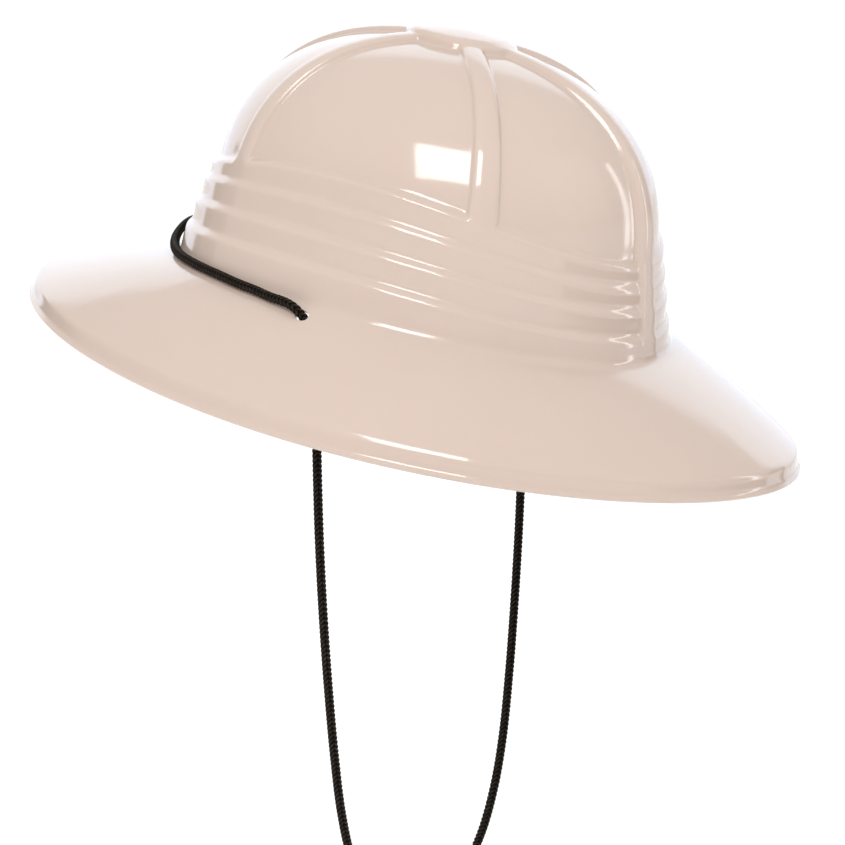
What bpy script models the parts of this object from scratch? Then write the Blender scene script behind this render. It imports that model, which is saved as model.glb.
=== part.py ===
"""Pith helmet of one vacuum-formed plastic shell, worn tilted back, with a braided chin cord.

Helmet frame: the foot of the pleated band lies about z = 0, the front faces -Y and the
wearer's left is +X. Angles run from the front (0) by the left side (90) to the back (180).
The world frame is the helmet frame leaned back by WORN_TILT about the head opening's centre.
"""
import math

import bmesh
import bpy
from mathutils import Matrix, Vector

MM = 0.001

# Overall sizes of the shell
OVERALL_LENGTH = 336 * MM
OVERALL_WIDTH = 240 * MM
CROWN_LENGTH = 207 * MM
CROWN_WIDTH = 168 * MM
CROWN_HEIGHT = 103.5 * MM
WALL = 1.0 * MM
WORN_TILT = math.radians(10)
SHARP_ANGLE = math.radians(35)

# Dome: the level of the rib tops, which the panels are sunk into
DOME_EQUATOR = 20 * MM
DOME_LENGTH = 191.5 * MM
DOME_WIDTH = 153 * MM
DOME_ROUND_ACROSS = 2.28
DOME_ROUND_UP = 2.7
PANEL_RECESS = 2.5 * MM
DOME_ROWS = 9

# Ribs, by the angle each one stands at
RIB_ANGLES = (0, 53, 125, 180, 235, 307)
BACK_RIB = 3
RIB_WIDTH_FOOT = 10.5 * MM
RIB_WIDTH_TOP = 7.8 * MM
RIB_SIDE = 1.3 * MM
BACK_RIB_EXTRA = 1.2 * MM
PANEL_COLUMNS = 7

# Plateau at the top, where the ribs meet
PLATEAU_LENGTH = 36.5 * MM
PLATEAU_WIDTH = 34 * MM
PLATEAU_FORWARD = 1.2 * MM
PLATEAU_RISE = 0.9 * MM
PLATEAU_CROWN = 2.0 * MM
PLATEAU_EDGE = 0.6 * MM
PLATEAU_FOOT = 45.8 * MM
HUB_GAP = 1.4 * MM

# Band of pleats: heights as shares of BAND_HEIGHT, and how far in from the foot each line
# lies as a share of the way to the dome. A pleat's top edge is a bevel of PLEAT_BEVEL.
BAND_HEIGHT = 50 * MM
PLEAT_BEVEL = 2.4 * MM
PLEAT_LINES = (
    # side, front, back, inset
    (1.03, 0.65, 0.65, 1.00),
    (0.80, 0.53, 0.475, 0.74),
    (0.56, 0.355, 0.30, 0.45),
    (0.33, 0.15, 0.09, 0.14),
)
PLEAT_FACE = 0.05
FOOT_LINE = (0.06, -0.055, -0.07)

# Brim and its turned-down lip
RIM_DROP_SIDE = 39 * MM
RIM_DROP_FRONT = 30.5 * MM
RIM_DROP_BACK = 38 * MM
BRIM_FORWARD = 1.5 * MM
BRIM_BULGE = 0.25
BRIM_SHARES = (0.25, 0.5, 0.75)
LIP_HEIGHT = 7.5 * MM
LIP_INSET = 2.5 * MM
CREASE_ROUND = 1.3 * MM
CREASE_TURN = 0.4
FLARE_WIDTH = 1.6 * MM
FLARE_RISE = 1.6 * MM

# Cord holes: how far round the brim from the front, and how far out from the foot
HOLE_ANGLE = math.radians(89)
HOLE_SHARE = 0.12
HOLE_DIAMETER = 6.2 * MM
HOLE_SIDES = 16
HOLE_CUTTER_DEPTH = 10 * MM

# Braided cord, and the knot that closes its loop under the right hole
CORD_DIAMETER = 3.6 * MM
CORD_STEP = 4.2
CORD_SIDES_RESOLUTION = 2
KNOT_WIDTH = 9.4 * MM
KNOT_HEIGHT = 10.4 * MM
KNOT_PLACE = (-84.5, 0.3, -6.7)
KNOT_SEGMENTS = 14
KNOT_RINGS = 8

# The cord's route in the world frame, in millimetres: up from the knot through the right
# hole, round the front of the crown, down through the left hole, and back as a hanging
# loop. Each list is the wearer's left side, and the right side mirrors it.
CORD_FRONT = (
    (9.7, -103.6, 22.6),
    (19.7, -101.3, 21.5),
    (31.3, -97.1, 19.0),
    (42.5, -90.5, 16.8),
    (52.8, -82.3, 15.5),
    (60.8, -73.8, 14.7),
    (67.8, -64.2, 13.6),
    (73.0, -55.2, 12.5),
    (77.6, -45.7, 11.2),
    (81.6, -35.7, 9.5),
    (84.5, -25.3, 7.7),
    (86.6, -17.0, 5.9),
    (87.7, -12.2, 5.2),
)
CORD_HOLE = (
    (88.8, -7.7, 4.3),
    (89.0, -5.4, 3.3),
    (88.6, -3.5, 1.7),
    (87.7, -2.2, -0.2),
)
CORD_LOOP = (
    (86.4, -1.2, -2.7),
    (85.3, -0.3, -5.6),
    (84.3, 0.5, -9.8),
    (83.6, 1.0, -17.0),
    (83.4, 1.1, -28.0),
    (83.0, 1.1, -55.0),
    (81.8, 1.1, -85.0),
    (79.4, 1.1, -115.0),
    (75.9, 1.1, -145.0),
    (71.4, 1.1, -175.0),
    (66.2, 1.1, -200.0),
    (59.0, 1.1, -220.0),
    (48.0, 1.1, -237.5),
    (34.0, 1.1, -249.0),
    (17.5, 1.1, -255.2),
)
CORD_FRONT_MIDDLE = (0.0, -104.3, 22.9)
CORD_LOOP_MIDDLE = (0.0, 1.1, -257.0)
CORD_START = (-86.9, -1.6, -1.7)
CORD_END = (-84.5, 0.3, -12.3)


def material(name, colour, roughness):
    """A Principled material of one colour."""
    made = bpy.data.materials.new(name)
    made.use_nodes = True
    shader = made.node_tree.nodes["Principled BSDF"]
    shader.inputs["Base Color"].default_value = (*colour, 1)
    shader.inputs["Roughness"].default_value = roughness
    return made


def by_angle(angle, side, front, back):
    """A height that changes smoothly from the front by the side to the back."""
    forward = math.cos(angle)
    ends = (front + back) / 2 * forward**2
    return side * math.sin(angle) ** 2 + ends + (front - back) / 2 * forward


def oval(angle, length, width, height, forward=0.0):
    """A point of a level oval."""
    return Vector((width / 2 * math.sin(angle), -forward - length / 2 * math.cos(angle), height))


def dome(angle, turn):
    """A point at the rib tops' level. turn is 0 at the dome's equator and 90 degrees on top."""
    across = math.cos(turn) ** (2 / DOME_ROUND_ACROSS)
    up = math.sin(turn) ** (2 / DOME_ROUND_UP)
    height = DOME_EQUATOR + (CROWN_HEIGHT - DOME_EQUATOR) * up
    return oval(angle, DOME_LENGTH * across, DOME_WIDTH * across, height)


def dome_turn(height):
    """The turn at which the dome reaches a height."""
    share = (height - DOME_EQUATOR) / (CROWN_HEIGHT - DOME_EQUATOR)
    return math.asin(max(share, 0.0) ** (DOME_ROUND_UP / 2))


def dome_normal(angle, turn):
    """The outward normal of the dome."""
    step = 1e-4
    along = dome(angle + step, turn) - dome(angle - step, turn)
    upward = dome(angle, turn + step) - dome(angle, turn - step)
    return along.cross(upward).normalized()


def pleat_height(row, angle):
    """How high a pleat's top line is above the foot plane."""
    side, front, back = PLEAT_LINES[row][:3]
    return BAND_HEIGHT * by_angle(angle, side, front, back)


def foot_point(angle):
    """The foot of the band, where the brim starts."""
    return oval(angle, CROWN_LENGTH, CROWN_WIDTH, BAND_HEIGHT * by_angle(angle, *FOOT_LINE))


def band_point(angle, inset, height):
    """A point of the band: inset 0 is over the foot, 1 is at the dome under the first pleat."""
    top = dome(angle, dome_turn(pleat_height(0, angle)))
    foot = foot_point(angle)
    return Vector((*(foot.xy.lerp(top.xy, inset)), height))


def rim_point(angle, inset=0.0, rise=0.0):
    """A point near the rim, set in from it and raised above it."""
    drop = by_angle(angle, RIM_DROP_SIDE, RIM_DROP_FRONT, RIM_DROP_BACK)
    across = OVERALL_WIDTH - 2 * inset
    return oval(angle, OVERALL_LENGTH - 2 * inset, across, rise - drop, BRIM_FORWARD)


def brim_point(angle, share):
    """A point of the brim's upper face, from the foot (0) to the crease above the lip (1)."""
    foot = foot_point(angle)
    crease = rim_point(angle, LIP_INSET, LIP_HEIGHT)
    bent = share - BRIM_BULGE * share * (1 - share)
    return Vector((*(foot.xy.lerp(crease.xy, share)), foot.z + (crease.z - foot.z) * bent))


def columns(length, width, rib_width):
    """The angle of every column of points round an oval, with how much rib each one carries.

    A rib has five columns: its two feet, its two top edges and its middle. The panels
    between two ribs share out what is left.
    """
    found = []
    for index, degrees in enumerate(RIB_ANGLES):
        angle = math.radians(degrees)
        reach = math.hypot(width / 2 * math.cos(angle), length / 2 * math.sin(angle))
        half = rib_width / 2
        foot = half + RIB_SIDE
        for offset, share in ((-foot, 0), (-half, 1), (0, 1), (half, 1), (foot, 0)):
            found.append((angle + offset / reach, share, index))
    spread = []
    for here, after in zip(found, found[1:] + found[:1]):
        spread.append(here)
        if here[2] != after[2]:
            end = after[0] + (math.tau if after[0] < here[0] else 0)
            gap = (end - here[0]) / (PANEL_COLUMNS + 1)
            for step in range(1, PANEL_COLUMNS + 1):
                spread.append((here[0] + gap * step, 0, None))
    return spread


def plateau_rows():
    """The shallow cap, its rounded edge and its sloping side."""
    top = CROWN_HEIGHT + PLATEAU_RISE
    shoulder = 1 - 2 * PLATEAU_EDGE / PLATEAU_LENGTH
    rows = []
    ring = columns(PLATEAU_LENGTH, PLATEAU_WIDTH, RIB_WIDTH_TOP)
    for share, drop in ((0.5, 0), (shoulder, 0), (1, PLATEAU_EDGE)):
        height = top + PLATEAU_CROWN * (1 - share**2) - drop
        sizes = (PLATEAU_LENGTH * share, PLATEAU_WIDTH * share, height, PLATEAU_FORWARD)
        rows.append([oval(angle, *sizes) for angle, _, _ in ring])
    turn = math.acos((PLATEAU_FOOT / DOME_LENGTH) ** (DOME_ROUND_ACROSS / 2))
    ring = columns(PLATEAU_FOOT, PLATEAU_FOOT * DOME_WIDTH / DOME_LENGTH, RIB_WIDTH_TOP)
    rows.append([dome(angle, turn) for angle, _, _ in ring])
    return rows


def dome_rows():
    """The panels and the ribs between them, from the plateau down to the first pleat."""
    hub = PLATEAU_FOOT + 2 * HUB_GAP
    hub_turn = math.acos((hub / DOME_LENGTH) ** (DOME_ROUND_ACROSS / 2))
    rows = []
    for step in range(DOME_ROWS + 1):
        share = step / DOME_ROWS
        size = math.cos(hub_turn * (1 - share)) ** (2 / DOME_ROUND_ACROSS)
        rib_width = RIB_WIDTH_TOP + (RIB_WIDTH_FOOT - RIB_WIDTH_TOP) * share
        row = []
        for angle, rib, index in columns(DOME_LENGTH * size, DOME_WIDTH * size, rib_width):
            low_turn = dome_turn(pleat_height(0, angle) + PLEAT_BEVEL)
            turn = hub_turn + (low_turn - hub_turn) * share
            depth = PANEL_RECESS * (rib - 1)
            if index == BACK_RIB and rib:
                depth += BACK_RIB_EXTRA * share
            row.append(dome(angle, turn) + dome_normal(angle, turn) * depth)
        rows.append(row)
    return rows


def band_rows():
    """The pleats, each a bevelled top edge and a face, with the back rib run down over them."""
    lines = []
    for index, (_, _, _, inset) in enumerate(PLEAT_LINES):
        if index:
            above = PLEAT_LINES[index - 1][3] - PLEAT_FACE
            lines.append((index, PLEAT_BEVEL, above))
        lines.append((index, 0.0, inset))
    rows = []
    for index, rise, inset in lines:
        row = []
        for angle, rib, rib_index in columns(CROWN_LENGTH, CROWN_WIDTH, RIB_WIDTH_FOOT):
            height = pleat_height(index, angle) + rise
            point = band_point(angle, inset, height)
            if rib_index == BACK_RIB and rib:
                point.y = max(point.y, back_strip(height))
            row.append(point)
        rows.append(row)
    return rows


def back_strip(height):
    """How far back the strip's outer face lies: over the first pleat it stands proud, and
    at the last pleat's top edge it ends flush."""
    high = pleat_height(0, math.pi)
    low = pleat_height(len(PLEAT_LINES) - 1, math.pi)
    share = (high - height) / (high - low)
    proud = band_point(math.pi, PLEAT_LINES[0][3], high).y + BACK_RIB_EXTRA
    flush = band_point(math.pi, PLEAT_LINES[-1][3], low).y
    return proud + (flush - proud) * share


def brim_rows():
    """The foot, the sloping brim, the crease, the lip and the flare at the cut edge."""
    ring = [angle for angle, _, _ in columns(CROWN_LENGTH, CROWN_WIDTH, RIB_WIDTH_FOOT)]
    rows = [[foot_point(angle) for angle in ring]]
    rows += [[brim_point(angle, share) for angle in ring] for share in BRIM_SHARES]
    around = [
        (LIP_INSET + CREASE_ROUND, LIP_HEIGHT + CREASE_ROUND * CREASE_TURN),
        (LIP_INSET, LIP_HEIGHT - CREASE_ROUND * CREASE_TURN),
        (FLARE_WIDTH, FLARE_RISE),
        (0.0, 0.0),
    ]
    rows += [[rim_point(angle, inset, rise) for angle in ring] for inset, rise in around]
    return rows


def skin(rows, apex):
    """A mesh through rings of points, made by extruding each ring from the one before."""
    mesh = bmesh.new()
    made = bmesh.ops.create_circle(mesh, segments=len(rows[0]), radius=1)
    ring = made["verts"]
    edges = list({edge for vertex in ring for edge in vertex.link_edges})
    for vertex, point in zip(ring, rows[0]):
        vertex.co = point
    for row in rows[1:]:
        order = {vertex: index for index, vertex in enumerate(ring)}
        grown = bmesh.ops.extrude_edge_only(mesh, edges=edges)["geom"]
        edges = [item for item in grown if isinstance(item, bmesh.types.BMEdge)]
        new = [item for item in grown if isinstance(item, bmesh.types.BMVert)]
        after = {}
        for vertex in new:
            for edge in vertex.link_edges:
                other = edge.other_vert(vertex)
                if other in order:
                    after[order[other]] = vertex
        ring = [after[index] for index in range(len(row))]
        for vertex, point in zip(ring, row):
            vertex.co = point
    closed = bmesh.ops.contextual_create(mesh, geom=edges)["faces"]
    poked = bmesh.ops.poke(mesh, faces=closed)
    poked["verts"][0].co = apex
    bmesh.ops.recalc_face_normals(mesh, faces=mesh.faces)
    return mesh


def brim_normal(angle, share):
    """The outward normal of the brim's upper face."""
    step = 1e-3
    along = brim_point(angle + step, share) - brim_point(angle - step, share)
    outward = brim_point(angle, share + step) - brim_point(angle, share - step)
    return outward.cross(along).normalized()


def hole_cutter(holder, name, angle):
    """A cylinder square through the brim, for one cord hole."""
    bpy.ops.mesh.primitive_cylinder_add(
        vertices=HOLE_SIDES, radius=HOLE_DIAMETER / 2, depth=HOLE_CUTTER_DEPTH
    )
    cutter = bpy.context.object
    cutter.name = name
    cutter.parent = holder
    cutter.location = brim_point(angle, HOLE_SHARE)
    cutter.rotation_euler = brim_normal(angle, HOLE_SHARE).to_track_quat("Z", "Y").to_euler()
    cutter.hide_render = True
    cutter.display_type = "WIRE"
    return cutter


def helmet_shell(holder):
    """The whole moulded shell: crown, ribs, pleats, brim and lip in one thin wall."""
    rows = plateau_rows() + dome_rows() + band_rows() + brim_rows()
    rows.reverse()
    apex = CROWN_HEIGHT + PLATEAU_RISE + PLATEAU_CROWN
    mesh = skin(rows, Vector((0, -PLATEAU_FORWARD, apex)))
    data = bpy.data.meshes.new("helmet_shell")
    mesh.to_mesh(data)
    mesh.free()
    data.shade_smooth()
    data.set_sharp_from_angle(angle=SHARP_ANGLE)
    data.materials.append(material("blush_plastic", (0.72, 0.58, 0.50), 0.2))
    shell = bpy.data.objects.new("helmet_shell", data)
    bpy.context.collection.objects.link(shell)
    shell.parent = holder
    thick = shell.modifiers.new("wall", "SOLIDIFY")
    thick.thickness = WALL
    thick.offset = -1
    thick.use_even_offset = True
    for name, angle in (("left_hole", HOLE_ANGLE), ("right_hole", -HOLE_ANGLE)):
        cut = shell.modifiers.new(name, "BOOLEAN")
        cut.operation = "DIFFERENCE"
        cut.object = hole_cutter(holder, name, angle)
    return shell


def mirrored(points):
    """The same points on the wearer's right side, in reverse order."""
    return [(-x, y, z) for x, y, z in reversed(points)]


def cord_route():
    """The route's points in metres, from the knot's top to its underside."""
    right_side = [CORD_START, *mirrored(CORD_HOLE), *mirrored(CORD_FRONT)]
    left_side = [CORD_FRONT_MIDDLE, *CORD_FRONT, *CORD_HOLE, *CORD_LOOP]
    back_up = [CORD_LOOP_MIDDLE, *mirrored(CORD_LOOP[3:]), CORD_END]
    return [Vector(point) * MM for point in right_side + left_side + back_up]


def smooth_curve(route, step):
    """Points about a step apart on a smooth curve through the route's points."""
    padded = [route[0] * 2 - route[1], *route, route[-1] * 2 - route[-2]]
    found = [route[0]]
    for before, here, after, beyond in zip(padded, padded[1:], padded[2:], padded[3:]):
        knots = [0.0]
        for one, two in ((before, here), (here, after), (after, beyond)):
            knots.append(knots[-1] + math.sqrt((two - one).length))
        pieces = max(1, round((after - here).length / step))
        for index in range(1, pieces + 1):
            place = knots[1] + (knots[2] - knots[1]) * index / pieces
            found.append(centripetal(place, knots, (before, here, after, beyond)))
    return found


def centripetal(place, knots, points):
    """A point of the centripetal Catmull-Rom curve through four points."""

    def between(one, two, start, end):
        return one.lerp(two, (place - knots[start]) / (knots[end] - knots[start]))

    first = [between(points[i], points[i + 1], i, i + 1) for i in range(3)]
    second = [between(first[i], first[i + 1], i, i + 2) for i in range(2)]
    return between(second[0], second[1], 1, 2)


def chin_cord():
    """The whole braided cord as one plain tube."""
    points = smooth_curve(cord_route(), CORD_STEP * CORD_DIAMETER)
    curve = bpy.data.curves.new("chin_cord", "CURVE")
    curve.dimensions = "3D"
    curve.bevel_depth = CORD_DIAMETER / 2
    curve.bevel_resolution = CORD_SIDES_RESOLUTION
    curve.use_fill_caps = True
    spline = curve.splines.new("POLY")
    spline.points.add(len(points) - 1)
    for target, point in zip(spline.points, points):
        target.co = (*point, 1)
    curve.materials.append(material("black_braid", (0.02, 0.02, 0.022), 0.75))
    cord = bpy.data.objects.new("chin_cord", curve)
    bpy.context.collection.objects.link(cord)


def cord_knot():
    """The small knot that closes the loop and can't slip up through the hole."""
    bpy.ops.mesh.primitive_uv_sphere_add(segments=KNOT_SEGMENTS, ring_count=KNOT_RINGS, radius=0.5)
    knot = bpy.context.object
    knot.name = "cord_knot"
    sizes = Matrix.Diagonal((KNOT_WIDTH, KNOT_WIDTH, KNOT_HEIGHT, 1))
    knot.data.transform(sizes)
    knot.data.shade_smooth()
    knot.location = Vector(KNOT_PLACE) * MM
    knot.data.materials.append(material("black_knot", (0.02, 0.02, 0.022), 0.75))


def clear_scene():
    """Start from an empty scene."""
    for thing in list(bpy.data.objects):
        bpy.data.objects.remove(thing, do_unlink=True)


def main():
    clear_scene()
    worn = bpy.data.objects.new("worn_tilt", None)
    worn.rotation_euler.x = -WORN_TILT
    bpy.context.collection.objects.link(worn)
    helmet_shell(worn)
    chin_cord()
    cord_knot()


main()
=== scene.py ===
# %% [markdown]
# # A moulded pith helmet and its chin cord
#
# A costume pith helmet is one sheet of thin plastic, warmed and sucked down over a mould.
# Everything on it, the ribs, the pleats that stand for a wound cloth and the lip of the
# brim, is a fold of that one sheet. So it is one piece here too, with soft corners, an even
# wall and a glossy skin. The only other pieces are a braided cord and the knot that closes
# its loop.

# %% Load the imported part
import math

import bmesh
import bpy
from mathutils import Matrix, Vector


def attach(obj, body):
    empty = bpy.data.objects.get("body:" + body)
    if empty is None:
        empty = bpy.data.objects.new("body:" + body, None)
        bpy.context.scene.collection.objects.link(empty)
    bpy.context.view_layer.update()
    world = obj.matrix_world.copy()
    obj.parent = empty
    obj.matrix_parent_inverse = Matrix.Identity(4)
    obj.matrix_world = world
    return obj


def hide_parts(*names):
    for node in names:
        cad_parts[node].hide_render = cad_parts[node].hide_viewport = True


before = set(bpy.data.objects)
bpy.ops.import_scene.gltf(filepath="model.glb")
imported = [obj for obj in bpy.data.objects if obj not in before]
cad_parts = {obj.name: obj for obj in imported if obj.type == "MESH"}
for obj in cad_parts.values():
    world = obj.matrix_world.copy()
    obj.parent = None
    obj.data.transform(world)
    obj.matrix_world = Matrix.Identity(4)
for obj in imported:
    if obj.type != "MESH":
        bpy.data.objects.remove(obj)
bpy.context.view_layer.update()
bpy.ops.object.select_all(action="DESELECT")
MM = 0.001

# %% [markdown]
# ## Camera
#
# The photograph is taken from the wearer's left and a little behind, with a long lens from
# about 1.4 m, and the brim is seen slightly from above. The camera was solved from the
# brim's edge, the crease and the foot of the crown. It aims under the hat, so that the
# cord's hanging loop falls into the frame, and needs no lens shift.

# %% Set the camera
CAMERA_PLACE = (1.1986, 0.6910, 0.1915)
CAMERA_AZIMUTH = math.radians(29.972)
CAMERA_ELEVATION = math.radians(10.079)
CAMERA_LENS = 148.63
SENSOR = 36.0

bpy.ops.object.camera_add(location=CAMERA_PLACE)
camera = bpy.context.object
camera.name = "photo_camera"
camera.rotation_euler = (math.pi / 2 - CAMERA_ELEVATION, 0, CAMERA_AZIMUTH + math.pi / 2)
camera.data.lens = CAMERA_LENS
camera.data.sensor_width = SENSOR
camera.data.clip_end = 50
bpy.context.scene.camera = camera
bpy.context.scene.view_settings.view_transform = "Standard"
print("camera", round(Vector(CAMERA_PLACE).length, 3), "m from the head opening's centre")

# %% [markdown]
# ## The mould's sizes
#
# These are the sizes that the real mould would be cut to. Lengths along the hat run from
# front to back, and an angle of 0 degrees is the front, 90 the wearer's left and 180 the
# back. The hat is drawn level first, and leaned back at the end, as it is worn.

# %% Sizes of the shell
OVERALL_LENGTH = 336 * MM
OVERALL_WIDTH = 240 * MM
CROWN_LENGTH = 207 * MM
CROWN_WIDTH = 168 * MM
CROWN_HEIGHT = 103.5 * MM
WALL = 1.0 * MM
WORN_TILT = math.radians(10)

DOME_EQUATOR = 20 * MM
DOME_LENGTH = 191.5 * MM
DOME_WIDTH = 153 * MM
DOME_ROUND_ACROSS = 2.28
DOME_ROUND_UP = 2.7
PANEL_RECESS = 2.5 * MM

RIB_ANGLES = (0, 53, 125, 180, 235, 307)
BACK_RIB = 3
RIB_WIDTH_FOOT = 10.5 * MM
RIB_WIDTH_TOP = 7.8 * MM
RIB_SIDE = 1.3 * MM
BACK_RIB_EXTRA = 1.2 * MM

PLATEAU_LENGTH = 36.5 * MM
PLATEAU_WIDTH = 34 * MM
PLATEAU_FORWARD = 1.2 * MM
PLATEAU_RISE = 0.9 * MM
PLATEAU_CROWN = 2.0 * MM
PLATEAU_FOOT = 45.8 * MM
HUB_GAP = 1.4 * MM

BAND_HEIGHT = 50 * MM
PLEAT_BEVEL = 2.4 * MM
PLEAT_LINES = (
    # side, front, back, inset
    (1.03, 0.65, 0.65, 1.00),
    (0.80, 0.53, 0.475, 0.74),
    (0.56, 0.355, 0.30, 0.45),
    (0.33, 0.15, 0.09, 0.14),
)
PLEAT_FACE = 0.05
FOOT_LINE = (0.06, -0.055, -0.07)

RIM_DROP = (39 * MM, 30.5 * MM, 38 * MM)
BRIM_FORWARD = 1.5 * MM
BRIM_BULGE = 0.25
LIP_HEIGHT = 7.5 * MM
LIP_INSET = 2.5 * MM
FLARE_WIDTH = 1.6 * MM
FLARE_RISE = 1.6 * MM

# where the cord passes the left side of the sheet, and its slope there, as worn
HOLE_PLACE = (0.08775, -0.0023, -0.0001)
HOLE_SLOPE = (-0.40, 0.42, -0.81)
HOLE_DIAMETER = 4.9 * MM
print("brim", OVERALL_LENGTH, "by", OVERALL_WIDTH, "m, crown", CROWN_LENGTH, "by", CROWN_WIDTH)

# %% [markdown]
# ## The mould's surfaces
#
# The crown is a dome with a slightly square shoulder, and the band is drawn between its foot
# and the dome. Each is a short function of the angle, so the same few sizes give every
# point, and heights that change from side to front to back do so smoothly.

# %% Crown and band as functions of the angle
def by_angle(angle, side, front, back):
    """A height that changes smoothly from the front by the side to the back."""
    forward = math.cos(angle)
    ends = (front + back) / 2 * forward**2
    return side * math.sin(angle) ** 2 + ends + (front - back) / 2 * forward


def oval(angle, length, width, height, forward=0.0):
    """A point of a level oval."""
    return Vector((width / 2 * math.sin(angle), -forward - length / 2 * math.cos(angle), height))


def dome(angle, turn):
    """A point at the rib tops' level, from the equator (turn 0) to the top (90 degrees)."""
    across = math.cos(turn) ** (2 / DOME_ROUND_ACROSS)
    up = math.sin(turn) ** (2 / DOME_ROUND_UP)
    height = DOME_EQUATOR + (CROWN_HEIGHT - DOME_EQUATOR) * up
    return oval(angle, DOME_LENGTH * across, DOME_WIDTH * across, height)


def dome_turn(height):
    """The turn at which the dome reaches a height."""
    share = (height - DOME_EQUATOR) / (CROWN_HEIGHT - DOME_EQUATOR)
    return math.asin(max(share, 0.0) ** (DOME_ROUND_UP / 2))


def dome_normal(angle, turn):
    """The outward normal of the dome."""
    step = 1e-4
    along = dome(angle + step, turn) - dome(angle - step, turn)
    upward = dome(angle, turn + step) - dome(angle, turn - step)
    return along.cross(upward).normalized()


def pleat_height(index, angle):
    """How high a pleat's top line is above the foot plane."""
    side, front, back = PLEAT_LINES[index][:3]
    return BAND_HEIGHT * by_angle(angle, side, front, back)


def foot_point(angle):
    """The foot of the band, where the brim starts."""
    return oval(angle, CROWN_LENGTH, CROWN_WIDTH, BAND_HEIGHT * by_angle(angle, *FOOT_LINE))


def band_point(angle, inset, height):
    """A point of the band: inset 0 is over the foot, 1 is at the dome under the first pleat."""
    top = dome(angle, dome_turn(pleat_height(0, angle)))
    foot = foot_point(angle)
    return Vector((*(foot.xy.lerp(top.xy, inset)), height))


def back_strip(height):
    """How far back the outer face of the strip down the band's back lies."""
    high = pleat_height(0, math.pi)
    low = pleat_height(len(PLEAT_LINES) - 1, math.pi)
    share = (high - height) / (high - low)
    proud = band_point(math.pi, PLEAT_LINES[0][3], high).y + BACK_RIB_EXTRA
    flush = band_point(math.pi, PLEAT_LINES[-1][3], low).y
    return proud + (flush - proud) * share


print("top of the crown at", round(CROWN_HEIGHT + PLATEAU_RISE + PLATEAU_CROWN, 4), "m")

# %% [markdown]
# The brim falls from the foot of the band to the crease, bulging a little on the way, and
# the lip turns down from the crease to the cut edge.

# %% Brim and lip as functions of the angle
def rim_point(angle, inset=0.0, rise=0.0):
    """A point near the rim, set in from it and raised above it."""
    width = OVERALL_WIDTH - 2 * inset
    drop = by_angle(angle, *RIM_DROP)
    return oval(angle, OVERALL_LENGTH - 2 * inset, width, rise - drop, BRIM_FORWARD)


def brim_point(angle, share):
    """A point of the brim's upper face, from the foot (0) to the crease above the lip (1)."""
    foot = foot_point(angle)
    crease = rim_point(angle, LIP_INSET, LIP_HEIGHT)
    bent = share - BRIM_BULGE * share * (1 - share)
    return Vector((*(foot.xy.lerp(crease.xy, share)), foot.z + (crease.z - foot.z) * bent))


print("cut edge at the sides at", round(rim_point(math.pi / 2).z, 4), "m")

# %% [markdown]
# ## Columns and rows
#
# A thin sheet with soft folds is easiest as a sleeve of rings. The columns gather at the
# ribs, where the sheet turns quickly, and spread over the panels. The rows gather at each
# fold in the same way. One round of Subdivision Surface then makes every fold a smooth
# round, which matters most on a glossy skin, because a reflection shows each facet.

# %% Columns
RIB_STATIONS = (
    # beyond the top's edge, as a share of the side, and how much of the rib's rise
    (1.5, 0.0),
    (1.1, 0.05),
    (0.78, 0.2),
    (0.36, 0.52),
    (-0.1, 0.76),
    (-1.1, 0.92),
)
PANEL_COLUMNS = 11


def rib_offsets(rib_width):
    """Where the columns of one rib stand across it, and the rise at each."""
    half = [(rib_width / 2 + beyond * RIB_SIDE, rise) for beyond, rise in RIB_STATIONS]
    left = [(-place, rise) for place, rise in half]
    return left + [(0.0, 1.0)] + half[::-1]


def columns(length, width, rib_width):
    """Each column's angle round an oval, its share of a rib's rise, and its rib."""
    found = []
    for index, degrees in enumerate(RIB_ANGLES):
        angle = math.radians(degrees)
        reach = math.hypot(width / 2 * math.cos(angle), length / 2 * math.sin(angle))
        for offset, rise in rib_offsets(rib_width):
            found.append((angle + offset / reach, rise, index))
    spread = []
    for here, after in zip(found, found[1:] + found[:1]):
        spread.append(here)
        if here[2] != after[2]:
            end = after[0] + (math.tau if after[0] < here[0] else 0)
            gap = (end - here[0]) / (PANEL_COLUMNS + 1)
            spread += [(here[0] + gap * step, 0, None) for step in range(1, PANEL_COLUMNS + 1)]
    return spread


print("columns", len(columns(CROWN_LENGTH, CROWN_WIDTH, RIB_WIDTH_FOOT)))

# %% [markdown]
# Each fold is first written as one hard line: its points, the size of its round, and how
# many rows the face after it needs, so that the quads stay even.

# %% Fold lines, from the cut edge of the brim up to the top
FLARE_ROUND = 0.7 * MM
CREASE_ROUND = 1.5 * MM
FOOT_ROUND = 2.6 * MM
LEDGE_OUTER_ROUND = 1.1 * MM
LEDGE_INNER_ROUND = 0.9 * MM
HUB_ROUND = 0.8 * MM
HUB_GAP_ROUND = 0.7 * MM
PLATEAU_ROUND = 1.1 * MM
BRIM_ROWS = (0.9, 0.8, 0.68, 0.55, 0.42, 0.3, 0.19, 0.1)
PLATEAU_ROWS = (0.75, 0.5, 0.25)
DOME_STEPS = 20


def brim_folds():
    """Lines of the lip and the brim, each with its round and the rows added after it."""
    ring = [angle for angle, _, _ in columns(CROWN_LENGTH, CROWN_WIDTH, RIB_WIDTH_FOOT)]

    def rim(inset, rise):
        return [rim_point(angle, inset, rise) for angle in ring]

    def brim(share):
        return [brim_point(angle, share) for angle in ring]

    return [
        (rim(0, 0), 0, 1),
        (rim(FLARE_WIDTH, FLARE_RISE), FLARE_ROUND, 2),
        (rim(LIP_INSET, LIP_HEIGHT), CREASE_ROUND, 0),
        *[(brim(share), 0, 0) for share in BRIM_ROWS],
        (brim(0), FOOT_ROUND, 1),
    ]


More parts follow.
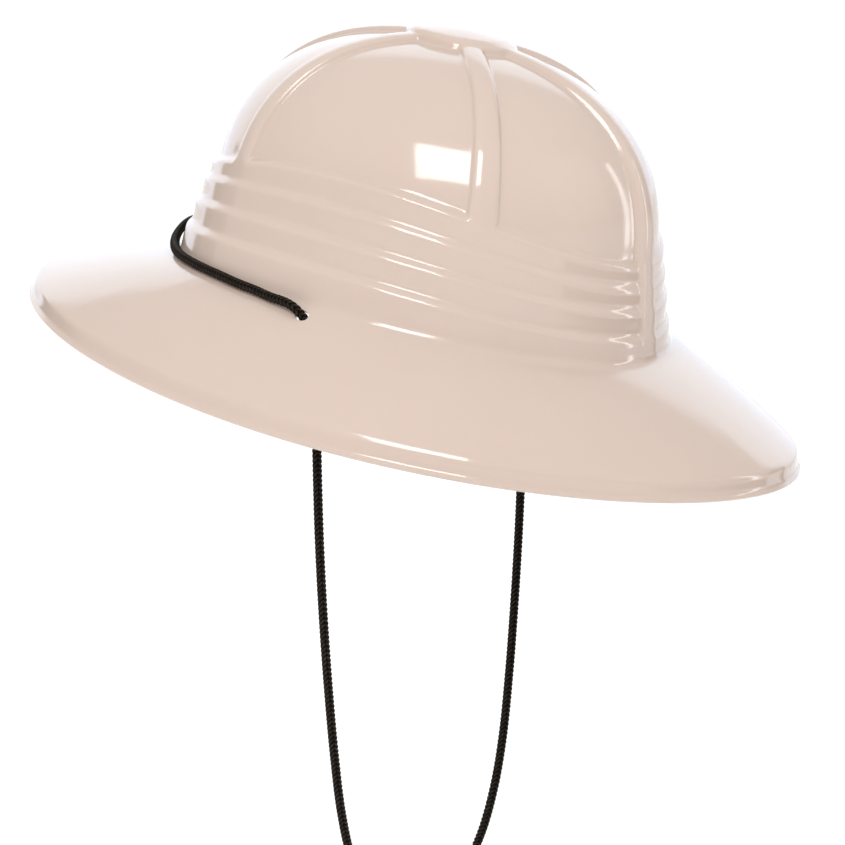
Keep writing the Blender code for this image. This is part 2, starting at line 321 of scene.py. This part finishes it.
def band_folds():
    """Lines of the pleats, from the lowest ledge to the first pleat's top edge."""
    lines = []
    for index, (_, _, _, inset) in enumerate(PLEAT_LINES):
        if index:
            above = PLEAT_LINES[index - 1][3] - PLEAT_FACE
            lines.append((index, PLEAT_BEVEL, above, LEDGE_INNER_ROUND, 2))
        lines.append((index, 0.0, inset, LEDGE_OUTER_ROUND, 0))
    ring = columns(CROWN_LENGTH, CROWN_WIDTH, RIB_WIDTH_FOOT)
    folds = []
    for index, rise, inset, round_size, extra in reversed(lines):
        row = []
        for angle, rib, rib_index in ring:
            height = pleat_height(index, angle) + rise
            point = band_point(angle, inset, height)
            if rib_index == BACK_RIB:
                point.y += (max(point.y, back_strip(height)) - point.y) * rib
            row.append(point)
        folds.append((row, round_size, extra))
    return folds


def dome_row(share):
    """A row of the panels and ribs: share 1 is over the first pleat and 0 at the hub."""
    hub = PLATEAU_FOOT + 2 * HUB_GAP
    hub_turn = math.acos((hub / DOME_LENGTH) ** (DOME_ROUND_ACROSS / 2))
    size = math.cos(hub_turn * (1 - share)) ** (2 / DOME_ROUND_ACROSS)
    rib_width = RIB_WIDTH_TOP + (RIB_WIDTH_FOOT - RIB_WIDTH_TOP) * share
    row = []
    for angle, rib, index in columns(DOME_LENGTH * size, DOME_WIDTH * size, rib_width):
        low_turn = dome_turn(pleat_height(0, angle) + PLEAT_BEVEL)
        turn = hub_turn + (low_turn - hub_turn) * share
        depth = PANEL_RECESS * (rib - 1)
        if index == BACK_RIB:
            depth += BACK_RIB_EXTRA * share * rib
        row.append(dome(angle, turn) + dome_normal(angle, turn) * depth)
    return row


def crown_folds():
    """Lines from the first pleat's ledge over the panels and up the low round cap."""
    folds = [(dome_row(1), LEDGE_INNER_ROUND, 0)]
    folds += [(dome_row(1 - step / DOME_STEPS), 0, 0) for step in range(1, DOME_STEPS)]
    folds.append((dome_row(0), HUB_ROUND, 0))
    turn = math.acos((PLATEAU_FOOT / DOME_LENGTH) ** (DOME_ROUND_ACROSS / 2))
    ring = columns(PLATEAU_FOOT, PLATEAU_FOOT * DOME_WIDTH / DOME_LENGTH, RIB_WIDTH_TOP)
    folds.append(([dome(angle, turn) for angle, _, _ in ring], HUB_GAP_ROUND, 0))
    ring = columns(PLATEAU_LENGTH, PLATEAU_WIDTH, RIB_WIDTH_TOP)
    for share, round_size in ((1, PLATEAU_ROUND), *[(share, 0) for share in PLATEAU_ROWS]):
        height = CROWN_HEIGHT + PLATEAU_RISE + PLATEAU_CROWN * (1 - share**2)
        sizes = (PLATEAU_LENGTH * share, PLATEAU_WIDTH * share, height, PLATEAU_FORWARD)
        folds.append(([oval(angle, *sizes) for angle, _, _ in ring], round_size, 0))
    return folds


folds = brim_folds() + band_folds() + crown_folds()
print("fold lines", len(folds))

# %% [markdown]
# Each line that has a round is then softened into three rows: one a little before the line,
# one cut across the corner and one a little after it. The rows that a face needs are spread
# over it, with a wider last gap, because the next fold's first row falls in it.

# %% Rows of the soft sheet
ROUND_SHARE_LIMIT = 0.42
LAST_GAP = 1.5


def softened(folds):
    """The rows of all folds, with three in place of each one that has a round."""
    rows = []
    for place, (row, round_size, extra) in enumerate(folds):
        if round_size:
            before, after = folds[place - 1][0], folds[place + 1][0]
            near, cut, far = [], [], []
            for low, here, high in zip(before, row, after):
                down, up = low - here, high - here
                start = here + down * min(round_size / down.length, ROUND_SHARE_LIMIT)
                end = here + up * min(round_size / up.length, ROUND_SHARE_LIMIT)
                near.append(start)
                cut.append(start / 4 + here / 2 + end / 4)
                far.append(end)
            rows += [near, cut, far]
        else:
            rows.append(row)
        if extra:
            last, following = rows[-1], folds[place + 1][0]
            for step in range(1, extra + 1):
                share = step / (extra + LAST_GAP)
                rows.append([one.lerp(two, share) for one, two in zip(last, following)])
    return rows


rows = softened(folds)
print("rows", len(rows), "of", len(rows[0]), "points")

# %% [markdown]
# ## The shell
#
# By hand this would be a cylinder with open ends, cut into rings and pulled into shape ring
# by ring. The same is done here: the cylinder's upright edges are subdivided, and each
# point is then moved to its column and row on the mould. The opening left at the top is
# filled and given a middle point.

# %% Sleeve of rings, pulled onto the mould
count = len(rows[0])
bpy.ops.mesh.primitive_cylinder_add(vertices=count, radius=1, depth=2, end_fill_type="NOTHING")
shell = bpy.context.object
shell.name = "moulded_shell"
bpy.ops.object.mode_set(mode="EDIT")
mesh = bmesh.from_edit_mesh(shell.data)
bpy.ops.mesh.select_mode(type="EDGE")
for edge in mesh.edges:
    low, high = edge.verts
    edge.select_set(abs(low.co.z - high.co.z) > 1)
mesh.select_flush_mode()
bmesh.update_edit_mesh(shell.data)
bpy.ops.mesh.subdivide(number_cuts=len(rows) - 2)

bpy.ops.mesh.select_mode(type="VERT")
bpy.ops.mesh.select_all(action="DESELECT")
mesh = bmesh.from_edit_mesh(shell.data)
for vertex in mesh.verts:
    row = round((vertex.co.z + 1) / 2 * (len(rows) - 1))
    column = round(math.atan2(vertex.co.x, -vertex.co.y) / math.tau * count) % count
    vertex.co = rows[row][column]
    vertex.select_set(row == len(rows) - 1)
mesh.select_flush_mode()
bmesh.update_edit_mesh(shell.data)
bpy.ops.mesh.edge_face_add()
bpy.ops.mesh.poke()
bpy.ops.mesh.select_all(action="SELECT")
bpy.ops.mesh.normals_make_consistent(inside=False)
bpy.ops.object.mode_set(mode="OBJECT")
print("sleeve", len(shell.data.polygons), "faces")

# %% [markdown]
# The Subdivision Surface modifier rounds the folds. Solidify then gives the sheet its wall
# inwards, so that the outer face stays where the mould put it, and the whole hat is leaned
# back as it is worn.

# %% Round the folds, thicken the sheet and lean it back
def apply_modifier(piece, name, kind, **settings):
    """Add a modifier, set it and apply it."""
    bpy.context.view_layer.objects.active = piece
    modifier = piece.modifiers.new(name, kind)
    for key, value in settings.items():
        setattr(modifier, key, value)
    bpy.ops.object.modifier_apply(modifier=name)


apply_modifier(shell, "soft_folds", "SUBSURF", levels=1, render_levels=1)
apply_modifier(shell, "wall", "SOLIDIFY", thickness=WALL, offset=-1, use_even_offset=True)
shell.rotation_euler.x = -WORN_TILT
bpy.ops.object.transform_apply(location=True, rotation=True, scale=True)
print("shell", len(shell.data.polygons), "faces")

# %% [markdown]
# The two cord holes are just outside the foot of the crown. A taut cord through thin plastic
# draws its hole along its own slope, so each hole is cut with a short cylinder that leans as
# the cord does and fits it closely. The Boolean is exact, so the edge stays sharp.

# %% Punch the cord holes
PUNCH_SIDES = 48
PUNCH_LENGTH = 8 * MM
SHARP_ANGLE = math.radians(40)
for side in (1, -1):
    bpy.ops.mesh.primitive_cylinder_add(
        vertices=PUNCH_SIDES, radius=HOLE_DIAMETER / 2, depth=PUNCH_LENGTH
    )
    punch = bpy.context.object
    punch.location = (side * HOLE_PLACE[0], *HOLE_PLACE[1:])
    slope = Vector((side * HOLE_SLOPE[0], *HOLE_SLOPE[1:]))
    punch.rotation_euler = slope.to_track_quat("Z", "Y").to_euler()
    apply_modifier(shell, "cord_hole", "BOOLEAN", operation="DIFFERENCE", object=punch)
    bpy.data.objects.remove(punch, do_unlink=True)

bpy.ops.object.select_all(action="DESELECT")
shell.select_set(True)
bpy.context.view_layer.objects.active = shell
bpy.ops.object.shade_smooth_by_angle(angle=SHARP_ANGLE)
print("punched shell", len(shell.data.polygons), "faces")

# %% [markdown]
# ## Materials
#
# Every material here is made of the same few kinds of node, so each kind has a short
# function. The patterns lie on the Object coordinates, which are in metres, so a grain keeps
# its real size on every piece.

# %% A function for each kind of node
def link(tree, source, target):
    """Join one output to one input."""
    tree.links.new(source, target)


def add_noise(tree, coordinates, scale, detail, roughness=0.5):
    """A Noise Texture on the given coordinates."""
    node = tree.nodes.new("ShaderNodeTexNoise")
    node.inputs["Scale"].default_value = scale
    node.inputs["Detail"].default_value = detail
    node.inputs["Roughness"].default_value = roughness
    link(tree, coordinates, node.inputs["Vector"])
    return node.outputs["Fac"]


def add_ramp(tree, value, stops):
    """A Color Ramp with the given places and colours."""
    node = tree.nodes.new("ShaderNodeValToRGB")
    first, last = node.color_ramp.elements
    first.position, first.color = stops[0][0], (*stops[0][1], 1)
    last.position, last.color = stops[-1][0], (*stops[-1][1], 1)
    for place, colour in stops[1:-1]:
        node.color_ramp.elements.new(place).color = (*colour, 1)
    link(tree, value, node.inputs["Fac"])
    return node.outputs["Color"]


def add_range(tree, value, low, high):
    """A value from 0 to 1 moved to another range."""
    node = tree.nodes.new("ShaderNodeMapRange")
    node.inputs["To Min"].default_value = low
    node.inputs["To Max"].default_value = high
    link(tree, value, node.inputs["Value"])
    return node.outputs["Result"]


def add_mix(tree, share):
    """A Mix node for two colours, A where the share is 0 and B where it is 1."""
    node = tree.nodes.new("ShaderNodeMix")
    node.data_type = "RGBA"
    link(tree, share, node.inputs["Factor"])
    return node


def add_bump(tree, height, strength, distance, normal=None):
    """A Bump node, which may stand on another one."""
    node = tree.nodes.new("ShaderNodeBump")
    node.inputs["Strength"].default_value = strength
    node.inputs["Distance"].default_value = distance
    link(tree, height, node.inputs["Height"])
    if normal:
        link(tree, normal, node.inputs["Normal"])
    return node.outputs["Normal"]


def new_material(name):
    """A material, its node tree, its Principled shader and its Object coordinates."""
    made = bpy.data.materials.new(name)
    made.use_nodes = True
    tree = made.node_tree
    place = tree.nodes.new("ShaderNodeTexCoord").outputs["Object"]
    return made, tree, tree.nodes["Principled BSDF"], place


helpers = (link, add_noise, add_ramp, add_range, add_mix, add_bump, new_material)
print("node functions", [helper.__name__ for helper in helpers])

# %% [markdown]
# ## Plastic
#
# The sheet is a glossy, slightly milky plastic in a pale pinkish beige. A formed sheet is
# never perfectly flat: it has long shallow waves and a faint orange peel, which bend the
# reflections. It also picks up dust and fine rubbing marks, which only show as a change of
# gloss. The colour varies a little, because the sheet is drawn thinner in places.

# %% Glossy moulded plastic
SHEET_TONES = ((0.3, (0.482, 0.386, 0.330)), (0.7, (0.502, 0.404, 0.347)))
POLISHED, RUBBED = 0.07, 0.13
WAVE_HEIGHT = 0.6 * MM
PEEL_HEIGHT = 0.2 * MM

plastic, tree, skin, place = new_material("blush_plastic")
drawn = add_noise(tree, place, scale=9, detail=2)
link(tree, add_ramp(tree, drawn, SHEET_TONES), skin.inputs["Base Color"])
marks = add_noise(tree, place, scale=160, detail=6, roughness=0.7)
link(tree, add_range(tree, marks, POLISHED, RUBBED), skin.inputs["Roughness"])
long_waves = add_noise(tree, place, scale=22, detail=1)
waves = add_bump(tree, long_waves, strength=0.25, distance=WAVE_HEIGHT)
orange_peel = add_noise(tree, place, scale=420, detail=2)
peel = add_bump(tree, orange_peel, strength=0.03, distance=PEEL_HEIGHT, normal=waves)
link(tree, peel, skin.inputs["Normal"])
skin.inputs["IOR"].default_value = 1.5
skin.inputs["Subsurface Weight"].default_value = 0.1
skin.inputs["Subsurface Radius"].default_value = (1.0, 0.6, 0.4)
skin.inputs["Subsurface Scale"].default_value = 2 * MM
shell.data.materials.append(plastic)
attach(shell, "root")
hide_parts("helmet_shell")
print("plastic on", shell.name)

# %% [markdown]
# ## The cord's route
#
# The cord is one closed loop of about 0.89 m. From the knot it comes up through the right
# hole, lies against the foot of the crown round the front, goes down through the left hole
# and hangs below the rim. It is limp, so the loop hangs as a plain U. The lists are the left
# side, in metres. The right side mirrors them, but for the first three points of the loop,
# where the knot is.

# %% Route points and the smooth curve through them
CORD_DIAMETER = 3.6 * MM
BRAID_PITCH = 1.9 * MM
RINGS_PER_PITCH = 6
CORD_FRONT = (
    (0.0097, -0.1036, 0.0226),
    (0.0197, -0.1013, 0.0215),
    (0.0313, -0.0971, 0.0190),
    (0.0425, -0.0905, 0.0168),
    (0.0528, -0.0823, 0.0155),
    (0.0608, -0.0738, 0.0147),
    (0.0678, -0.0642, 0.0136),
    (0.0730, -0.0552, 0.0125),
    (0.0776, -0.0457, 0.0112),
    (0.0816, -0.0357, 0.0095),
    (0.0845, -0.0253, 0.0077),
    (0.0866, -0.0170, 0.0059),
    (0.0877, -0.0122, 0.0052),
)
CORD_HOLE = (
    (0.0888, -0.0077, 0.0043),
    (0.0890, -0.0054, 0.0033),
    (0.0886, -0.0035, 0.0017),
    (0.0877, -0.0022, -0.0002),
)
CORD_LOOP = (
    (0.0864, -0.0012, -0.0027),
    (0.0853, -0.0003, -0.0056),
    (0.0843, 0.0005, -0.0098),
    (0.0836, 0.0010, -0.0170),
    (0.0834, 0.0011, -0.0280),
    (0.0830, 0.0011, -0.0550),
    (0.0818, 0.0011, -0.0850),
    (0.0794, 0.0011, -0.1150),
    (0.0759, 0.0011, -0.1450),
    (0.0714, 0.0011, -0.1750),
    (0.0662, 0.0011, -0.2000),
    (0.0590, 0.0011, -0.2200),
    (0.0480, 0.0011, -0.2375),
    (0.0340, 0.0011, -0.2490),
    (0.0175, 0.0011, -0.2552),
)
CORD_FRONT_MIDDLE = (0.0, -0.1043, 0.0229)
CORD_LOOP_MIDDLE = (0.0, 0.0011, -0.2570)
CORD_START = (-0.0869, -0.0016, -0.0017)
CORD_END = (-0.0845, 0.0003, -0.0123)


def mirrored(points):
    """The same points on the right side, in reverse order."""
    return [(-x, y, z) for x, y, z in reversed(points)]


def centripetal(place, knots, points):
    """A point of the centripetal Catmull-Rom curve through four points."""

    def between(one, two, start, end):
        return one.lerp(two, (place - knots[start]) / (knots[end] - knots[start]))

    first = [between(points[i], points[i + 1], i, i + 1) for i in range(3)]
    second = [between(first[i], first[i + 1], i, i + 2) for i in range(2)]
    return between(second[0], second[1], 1, 2)


def smooth_curve(route, step):
    """Points about a step apart on a smooth curve through the route's points."""
    padded = [route[0] * 2 - route[1], *route, route[-1] * 2 - route[-2]]
    found = [route[0]]
    for before, here, after, beyond in zip(padded, padded[1:], padded[2:], padded[3:]):
        knots = [0.0]
        for one, two in ((before, here), (here, after), (after, beyond)):
            knots.append(knots[-1] + math.sqrt((two - one).length))
        pieces = max(1, round((after - here).length / step))
        for index in range(1, pieces + 1):
            place = knots[1] + (knots[2] - knots[1]) * index / pieces
            found.append(centripetal(place, knots, (before, here, after, beyond)))
    return found


route = [CORD_START, *mirrored(CORD_HOLE), *mirrored(CORD_FRONT), CORD_FRONT_MIDDLE]
route += [*CORD_FRONT, *CORD_HOLE, *CORD_LOOP, CORD_LOOP_MIDDLE, *mirrored(CORD_LOOP[3:])]
route.append(CORD_END)
line = smooth_curve([Vector(point) for point in route], BRAID_PITCH / RINGS_PER_PITCH)

# %% [markdown]
# ## The braid
#
# Seen close, the cord is a round braid: columns of slanting strands, each column leaning
# the other way from its neighbours, so that two of them make a row of small chevrons. The
# curve gives a plain tube, and each of its points is then moved in or out by the braid's
# height, so the strands are real relief and the cord's outline is knobbly as in the
# photograph.

# %% Tube with a braided surface
BRAID_COLUMNS = 4
POINTS_PER_COLUMN = 8
BRAID_SLANT = 1.3
BRAID_DEPTH = 0.6 * MM
BRAID_PROUD = 0.2 * MM
COLUMN_EDGE = 0.4
COLUMN_FULLNESS = 0.6
ROUNDING_SLACK = 1e-6


def braid_height(along, around):
    """How far a braid's surface stands out of its core, from 0 to 1."""
    column = math.floor(around * BRAID_COLUMNS + ROUNDING_SLACK)
    across = around * BRAID_COLUMNS - column
    lean = 1 if column % 2 else -1
    phase = along / BRAID_PITCH + lean * BRAID_SLANT * (across - 0.5)
    strand = abs(math.sin(math.pi * phase))
    fullness = math.sin(math.pi * min(max(across, 0.0), 1.0)) ** COLUMN_FULLNESS
    return strand * (COLUMN_EDGE + (1 - COLUMN_EDGE) * fullness)


def new_curve(name, points, radius, resolution):
    """A tube along the points, as a curve object with a round bevel."""
    curve = bpy.data.curves.new(name, "CURVE")
    curve.dimensions = "3D"
    curve.bevel_depth = radius
    curve.bevel_resolution = resolution
    spline = curve.splines.new("POLY")
    spline.points.add(len(points) - 1)
    for target, point in zip(spline.points, points):
        target.co = (*point, 1)
    made = bpy.data.objects.new(name, curve)
    bpy.context.collection.objects.link(made)
    return made


def braided_tube(name, points, diameter):
    """A tube along the points with the braid's relief, and its place along and around."""
    sides = BRAID_COLUMNS * POINTS_PER_COLUMN
    tube = new_curve(name, points, diameter / 2, sides // 2 - 2)
    bpy.ops.object.select_all(action="DESELECT")
    tube.select_set(True)
    bpy.context.view_layer.objects.active = tube
    bpy.ops.object.convert(target="MESH")
    tube = bpy.context.object
    travelled = [0.0]
    for one, two in zip(points, points[1:]):
        travelled.append(travelled[-1] + (two - one).length)
    strand_place = tube.data.attributes.new("strand_place", "FLOAT_VECTOR", "POINT")
    for vertex in tube.data.vertices:
        ring, side = divmod(vertex.index, sides)
        height = braid_height(travelled[ring], side / sides)
        radius = diameter / 2 + BRAID_PROUD - BRAID_DEPTH * (1 - height)
        outward = (vertex.co - points[ring]).normalized()
        vertex.co = points[ring] + outward * radius
        # this height also sets where the material paints shade into the grooves
        strand_place.data[vertex.index].vector = (travelled[ring], side / sides, height)
    bpy.ops.object.mode_set(mode="EDIT")
    bpy.ops.mesh.select_all(action="SELECT")
    bpy.ops.mesh.fill_holes(sides=sides)
    bpy.ops.mesh.select_all(action="SELECT")
    bpy.ops.mesh.normals_make_consistent(inside=False)
    bpy.ops.object.mode_set(mode="OBJECT")
    bpy.ops.object.shade_smooth()
    return tube


cord = braided_tube("braided_cord", line, CORD_DIAMETER)
print("cord tube", len(cord.data.polygons), "faces")

# %% [markdown]
# The strands are bundles of black filament with a dull shine. Fine lines along each strand
# break up the shine, painted shade darkens the grooves, and a little dust makes some fibres
# paler.

# %% Black braid
# painted shade: the grooves' near-black stands in for the shade between the strands
GROOVE_PAINTED_SHADE = (0.0012, 0.0006, 0.0004, 1)
FIBRE_TONES = ((0.4, (0.018, 0.012, 0.009)), (0.75, (0.046, 0.037, 0.027)))
GROOVE_SHADE_FADE = ((0.25, (0, 0, 0)), (0.85, (1, 1, 1)))
GROOVE_ROUGHNESS, CREST_ROUGHNESS = 1.0, 0.5
FILAMENT_HEIGHT = 0.08 * MM

black_braid, tree, skin, place = new_material("black_braid")
strands = tree.nodes.new("ShaderNodeAttribute")
strands.attribute_name = "strand_place"
parts = tree.nodes.new("ShaderNodeSeparateXYZ")
link(tree, strands.outputs["Vector"], parts.inputs["Vector"])
relief = parts.outputs["Z"]
# painted shade: the near-black is mixed into the fibre colour where the relief is low
groove_shade_mix = add_mix(tree, add_ramp(tree, relief, GROOVE_SHADE_FADE))
groove_shade_mix.inputs["A"].default_value = GROOVE_PAINTED_SHADE
dust = add_noise(tree, place, scale=900, detail=3, roughness=0.6)
link(tree, add_ramp(tree, dust, FIBRE_TONES), groove_shade_mix.inputs["B"])
link(tree, groove_shade_mix.outputs["Result"], skin.inputs["Base Color"])
filaments = add_noise(tree, place, scale=5200, detail=2, roughness=0.7)
fibres = add_bump(tree, filaments, strength=0.5, distance=FILAMENT_HEIGHT)
link(tree, fibres, skin.inputs["Normal"])
dullness = add_range(tree, relief, GROOVE_ROUGHNESS, CREST_ROUGHNESS)
link(tree, dullness, skin.inputs["Roughness"])
skin.inputs["Specular IOR Level"].default_value = 0.06
cord.data.materials.append(black_braid)
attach(cord, "root")
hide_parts("chin_cord")
print("braid on", cord.name)

# %% [markdown]
# ## The knot
#
# The loop is closed by a tight knot under the right hole, where it also keeps the cord from
# slipping up. It is a small ball of the same braid: a sphere whose surface is pulled into
# three twisted turns, with the braid's relief on top.

# %% Tight knot of the same braid
KNOT_CENTRE = Vector((-0.0845, 0.0003, -0.0067))
KNOT_WIDTH = 9.0 * MM
KNOT_HEIGHT = 10.0 * MM
KNOT_SEGMENTS = 96
KNOT_RINGS = 64
KNOT_TURNS = 3
KNOT_TWIST = 1.5
KNOT_GROOVE = 0.16
KNOT_RELIEF = 0.05
KNOT_BRAID_SLIP = 4 * MM
POLE_FADE = 6

bpy.ops.mesh.primitive_uv_sphere_add(
    segments=KNOT_SEGMENTS, ring_count=KNOT_RINGS, radius=0.5
)
knot = bpy.context.object
knot.name = "loop_knot"
knot_place = knot.data.attributes.new("strand_place", "FLOAT_VECTOR", "POINT")
for vertex in knot.data.vertices:
    turn = math.atan2(vertex.co.y, vertex.co.x) / math.tau
    climb = vertex.co.z
    lobe = abs(math.sin(math.pi * (KNOT_TURNS * turn + KNOT_TWIST * climb)))
    fade = 1 - abs(2 * climb) ** POLE_FADE
    along = climb * KNOT_HEIGHT + turn * KNOT_BRAID_SLIP
    height = braid_height(along, (turn + 0.5) % 1.0)
    size = 1 - KNOT_GROOVE * (1 - lobe**0.5) * fade - KNOT_RELIEF * (1 - height) * fade
    place = Vector((vertex.co.x * KNOT_WIDTH, vertex.co.y * KNOT_WIDTH, climb * KNOT_HEIGHT))
    # the relief stored here is low between the turns too, so the material paints shade there as
    # in the grooves
    knot_place.data[vertex.index].vector = (climb, turn, height * lobe)
    vertex.co = KNOT_CENTRE + place * size
bpy.ops.object.shade_smooth()
knot.data.materials.append(black_braid)
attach(knot, "root")
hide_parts("cord_knot")
print("knot", len(knot.data.polygons), "faces")

# %% [markdown]
# ## Floor
#
# The hat is shown as worn, so it stands free in the air over a plain pale floor. The floor
# is matt paper that glows a little, so that it is near white with soft lamps.

# %% Pale floor
FLOOR_HEIGHT = -0.33
FLOOR_SIZE = 30
PAPER_TONES = ((0.3, (0.90, 0.90, 0.90)), (0.7, (0.93, 0.93, 0.93)))

bpy.ops.mesh.primitive_plane_add(size=FLOOR_SIZE, location=(0, 0, FLOOR_HEIGHT))
floor = bpy.context.object
floor.name = "floor"
paper, tree, skin, place = new_material("pale_paper")
grain = add_noise(tree, place, scale=300, detail=3)
link(tree, add_ramp(tree, grain, PAPER_TONES), skin.inputs["Base Color"])
skin.inputs["Roughness"].default_value = 0.9
skin.inputs["Emission Color"].default_value = (1, 1, 1, 1)
skin.inputs["Emission Strength"].default_value = 0.12
floor.data.materials.append(paper)
print("floor at", FLOOR_HEIGHT, "m")

# %% [markdown]
# ## Softboxes
#
# A glossy sheet is mostly a picture of its room, so the room was read off the photograph:
# every point of the hat reflects one direction, and the bright and dark shapes on it were
# traced back to where they must stand. That gives a square key softbox on the camera's
# side, a narrow strip behind the wearer's left and a broad dim one between them.

# %% Three softboxes
LIGHT_TARGET = Vector((0, 0, 0.03))


def toward(azimuth, elevation):
    """The direction of a place in the room as seen from the hat, from angles in degrees."""
    azimuth, elevation = math.radians(azimuth), math.radians(elevation)
    flat = math.cos(elevation)
    return Vector((flat * math.cos(azimuth), flat * math.sin(azimuth), math.sin(elevation)))


def softbox(name, azimuth, elevation, distance, width, height, power):
    """A rectangular lamp at a direction from the hat, facing it."""
    away = toward(azimuth, elevation)
    bpy.ops.object.light_add(type="AREA", location=LIGHT_TARGET + away * distance)
    lamp = bpy.context.object
    lamp.name = name
    lamp.data.shape = "RECTANGLE"
    lamp.data.size, lamp.data.size_y = width, height
    lamp.data.energy = power
    lamp.rotation_euler = away.to_track_quat("Z", "Y").to_euler()


softbox("key_softbox", 14, 35, 1.6, 0.56, 0.64, 14)
softbox("strip_softbox", 128, 9, 1.7, 0.13, 1.15, 2.4)
softbox("side_softbox", 92, 22, 2.0, 1.5, 1.5, 2.4)

# %% [markdown]
# ## Flags
#
# The photograph has thin dark lines beside the ribs. A photographer gets those with flags,
# black cards that stand out of the picture. Three planes do the same here. They show in the
# gloss alone: the camera doesn't see them and they cast no shadow.

# %% Three flags
FLAG_DISTANCE = 1.1
black_card = bpy.data.materials.new("black_card")
black_card.use_nodes = True
card_skin = black_card.node_tree.nodes["Principled BSDF"]
card_skin.inputs["Base Color"].default_value = (0.02, 0.02, 0.02, 1)


def flag(name, azimuth, elevation, width, height):
    """A black card at a direction from the hat, facing it."""
    away = toward(azimuth, elevation)
    bpy.ops.mesh.primitive_plane_add(size=1, location=away * FLAG_DISTANCE)
    card = bpy.context.object
    card.name = name
    card.dimensions = (width, height, 0)
    card.rotation_euler = away.to_track_quat("Z", "Y").to_euler()
    card.visible_camera = card.visible_diffuse = card.visible_shadow = False
    card.data.materials.append(black_card)


flag("back_flag", 153, -8, 0.07, 0.5)
flag("front_flag", -100, 0, 0.22, 0.4)
flag("low_flag", 106, -18, 1.3, 0.2)

# %% [markdown]
# ## Surround
#
# The rest of the room is the world's background. The ceiling is brighter than the walls, so
# that the pleats' ledges are paler than their faces. A bright round backdrop stands behind
# the hat and makes the ends of the brim pale. Low down, a dark ring surrounds the backdrop
# and gives the crown its dark edges.

# %% Room, backdrop and dark ring
BACKDROP_AZIMUTH = -151
BACKDROP_RIM = (math.cos(math.radians(52)), math.cos(math.radians(44)))
BACKDROP_LIGHT = ((0.08, (1.4, 1.55, 1.8)), (0.4, (1.8, 2.0, 2.2)))
ROOM_LIGHT = ((0.0, (0.57, 0.56, 0.55)), (1.0, (1.15, 1.15, 1.15)))
RING_RIM = ((0.36, (0, 0, 0)), (0.47, (1, 1, 1)), (0.58, (1, 1, 1)), (0.66, (0, 0, 0)))
RING_HEIGHT = ((0.12, (1, 1, 1)), (0.4, (0, 0, 0)))
RING_LIGHT = (0.06, 0.06, 0.065, 1)

world = bpy.data.worlds.new("studio_surround")
bpy.context.scene.world = world
world.use_nodes = True
tree = world.node_tree
direction = tree.nodes.new("ShaderNodeTexCoord").outputs["Generated"]
heights = tree.nodes.new("ShaderNodeSeparateXYZ")
link(tree, direction, heights.inputs["Vector"])
height = heights.outputs["Z"]
backdrop = tree.nodes.new("ShaderNodeVectorMath")
backdrop.operation = "DOT_PRODUCT"
backdrop.inputs[1].default_value = toward(BACKDROP_AZIMUTH, 0)
link(tree, direction, backdrop.inputs[0])
facing = backdrop.outputs["Value"]

ring = tree.nodes.new("ShaderNodeMath")
ring.operation = "MULTIPLY"
link(tree, add_ramp(tree, facing, RING_RIM), ring.inputs[0])
link(tree, add_ramp(tree, height, RING_HEIGHT), ring.inputs[1])
room = add_mix(tree, ring.outputs["Value"])
link(tree, add_ramp(tree, height, ROOM_LIGHT), room.inputs["A"])
room.inputs["B"].default_value = RING_LIGHT

glow = tree.nodes.new("ShaderNodeMapRange")
glow.interpolation_type = "SMOOTHSTEP"
glow.inputs["From Min"].default_value, glow.inputs["From Max"].default_value = BACKDROP_RIM
link(tree, facing, glow.inputs["Value"])
surround = add_mix(tree, glow.outputs["Result"])
link(tree, room.outputs["Result"], surround.inputs["A"])
link(tree, add_ramp(tree, height, BACKDROP_LIGHT), surround.inputs["B"])
link(tree, surround.outputs["Result"], tree.nodes["Background"].inputs["Color"])
print("surround of", len(tree.nodes), "nodes")
